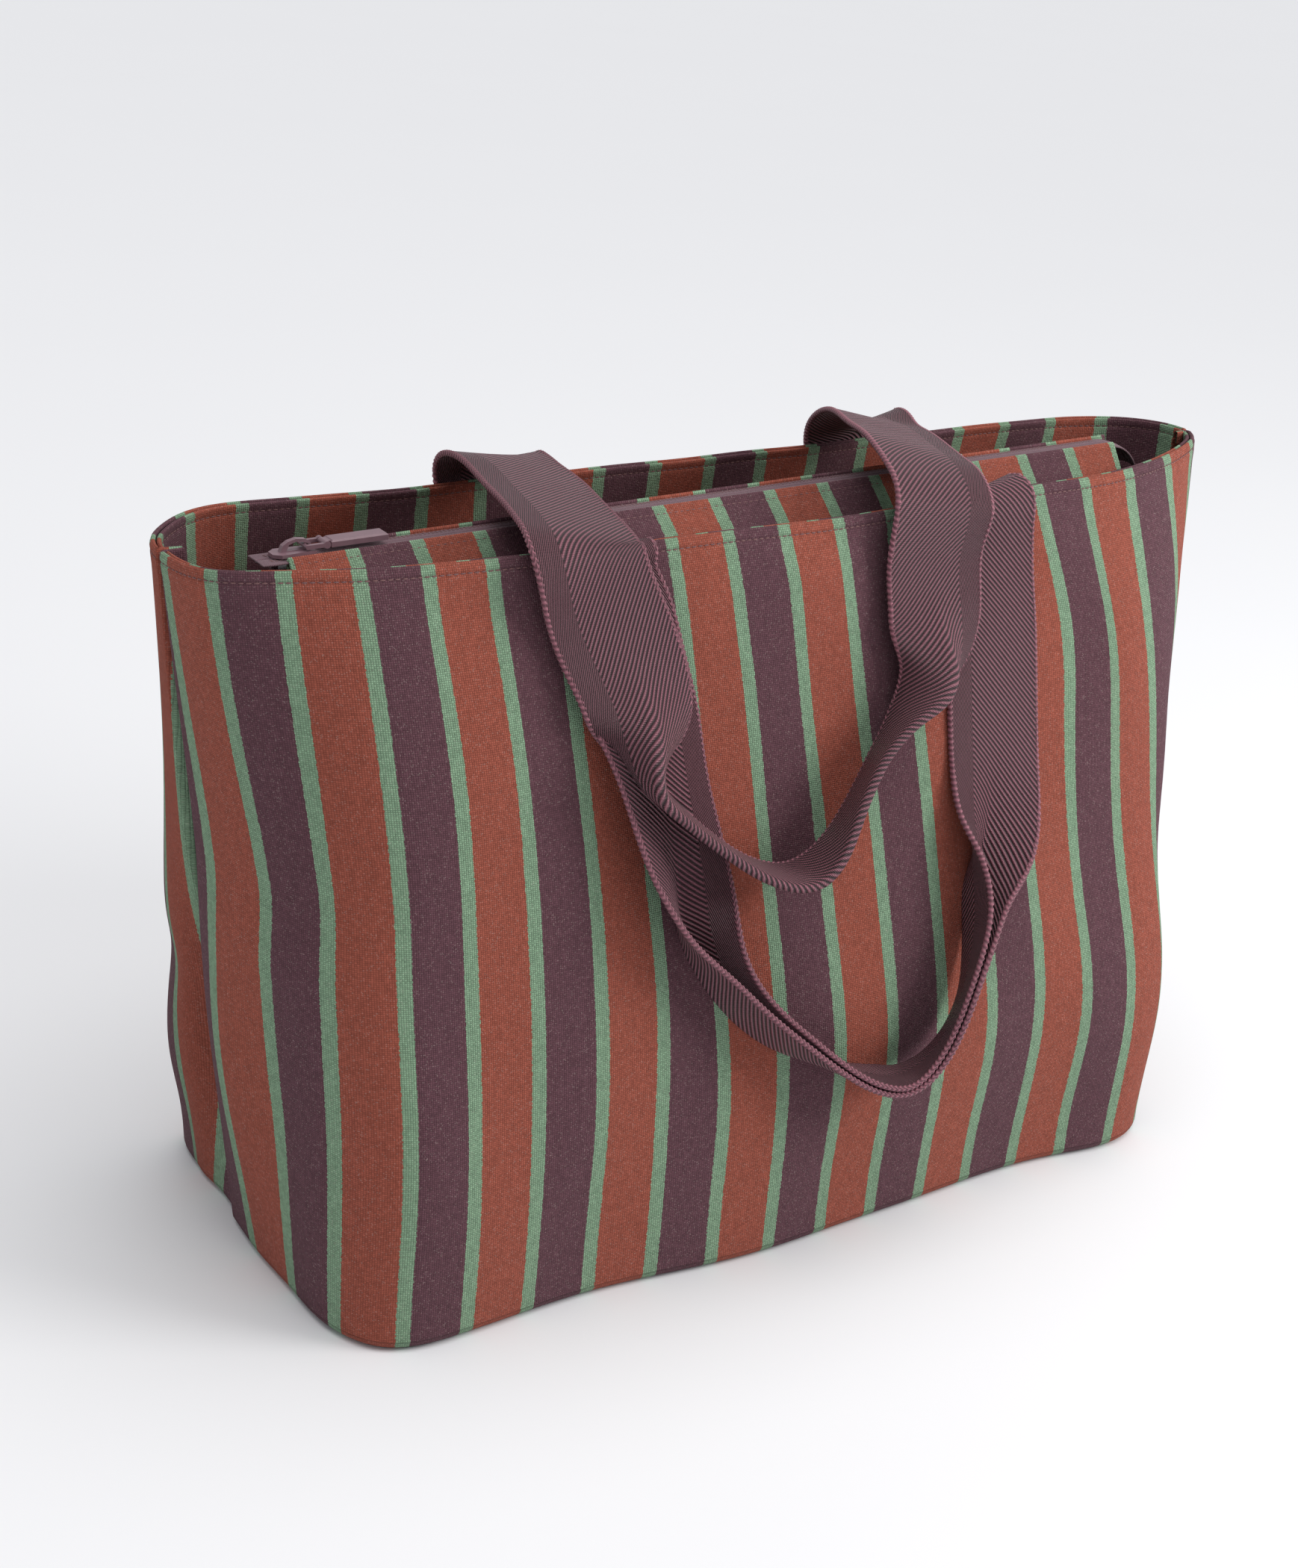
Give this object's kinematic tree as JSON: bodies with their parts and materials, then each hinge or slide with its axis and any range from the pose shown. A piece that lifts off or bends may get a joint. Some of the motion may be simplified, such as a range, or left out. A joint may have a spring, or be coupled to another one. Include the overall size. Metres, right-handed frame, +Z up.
{
  "type": "weekender bag",
  "caption": "Large open-rimmed canvas tote with vertical stripes, boxed base, recessed zip closure and webbing carry handles folded over the front.",
  "frame": {"origin": "on the floor at the centre of the flat rectangular base, which is the mount named base", "axes": "+X along the bag, -Y towards the side the handles hang over, +Z up"},
  "size_m": [0.5526, 0.231, 0.3484],
  "materials": {
    "canvas": "heavy plain-weave cotton canvas with vertical stripes",
    "webbing": "ribbed twill webbing",
    "zip_tape": "woven zip tape",
    "hardware": "satin enamel",
    "coil": "matte nylon",
    "lining": "thin plain lining cloth",
    "board": "matte"
  },
  "bodies": {
    "bag": {"front_panel": "canvas", "back_panel": "canvas", "base_panel": "canvas", "base_board": "board", "lining": "lining", "front_facing": "canvas", "back_facing": "canvas", "front_zip_flap": "canvas", "back_zip_flap": "canvas", "front_zip_tape": "zip_tape", "back_zip_tape": "zip_tape", "front_zip_coil": "coil", "back_zip_coil": "coil", "zip_end_stop": "coil", "front_handle_end_left": "webbing", "front_handle_end_right": "webbing", "back_handle_end_left": "webbing", "back_handle_end_right": "webbing"},
    "zip_slider": {"slider_body": "hardware"},
    "pull_link": {"pull_link": "hardware", "link_pin": "hardware"},
    "pull_tab": {"pull_tab": "hardware"},
    "front_handle": {"front_handle_loop": "webbing"},
    "back_handle_arch": {"back_handle_span_left": "webbing", "back_handle_span_right": "webbing"},
    "back_handle": {"back_handle_loop": "webbing"}
  },
  "joints": [
    {"name": "zip_slide", "type": "slide", "parent": "bag", "child": "zip_slider", "axis": [0.9996, 0, 0.0285], "range_m": [0, 0.405]},
    {"name": "pull_link_swing", "type": "hinge", "parent": "zip_slider", "child": "pull_link", "pos_m": [-0.21211, -0.006, 0.32269], "axis": [0, -1, 0], "range_deg": [0, 90]},
    {"name": "pull_tab_swing", "type": "hinge", "parent": "pull_link", "child": "pull_tab", "pos_m": [-0.20361, -0.006, 0.32294], "axis": [0, -1, 0], "range_deg": [0, 85]},
    {"name": "handles_lift", "type": "hinge", "parent": "bag", "child": "front_handle", "pos_m": [0, -0.056, 0.331], "axis": [-1, 0, 0], "range_deg": [0, 168.5]},
    {"name": "back_handle_swing", "type": "hinge", "parent": "bag", "child": "back_handle_arch", "pos_m": [0, 0.076, 0.3294], "axis": [-1, 0, 0], "range_deg": [0, 84.25]},
    {"name": "back_handle_fold", "type": "hinge", "parent": "back_handle_arch", "child": "back_handle", "pos_m": [0, -0.065, 0.3315], "axis": [-1, 0, 0], "range_deg": [0, 84.25]}
  ],
  "couplings": [
    {"joint": "back_handle_swing", "follows": "handles_lift", "ratio": 0.5},
    {"joint": "back_handle_fold", "follows": "handles_lift", "ratio": 0.5}
  ]
}
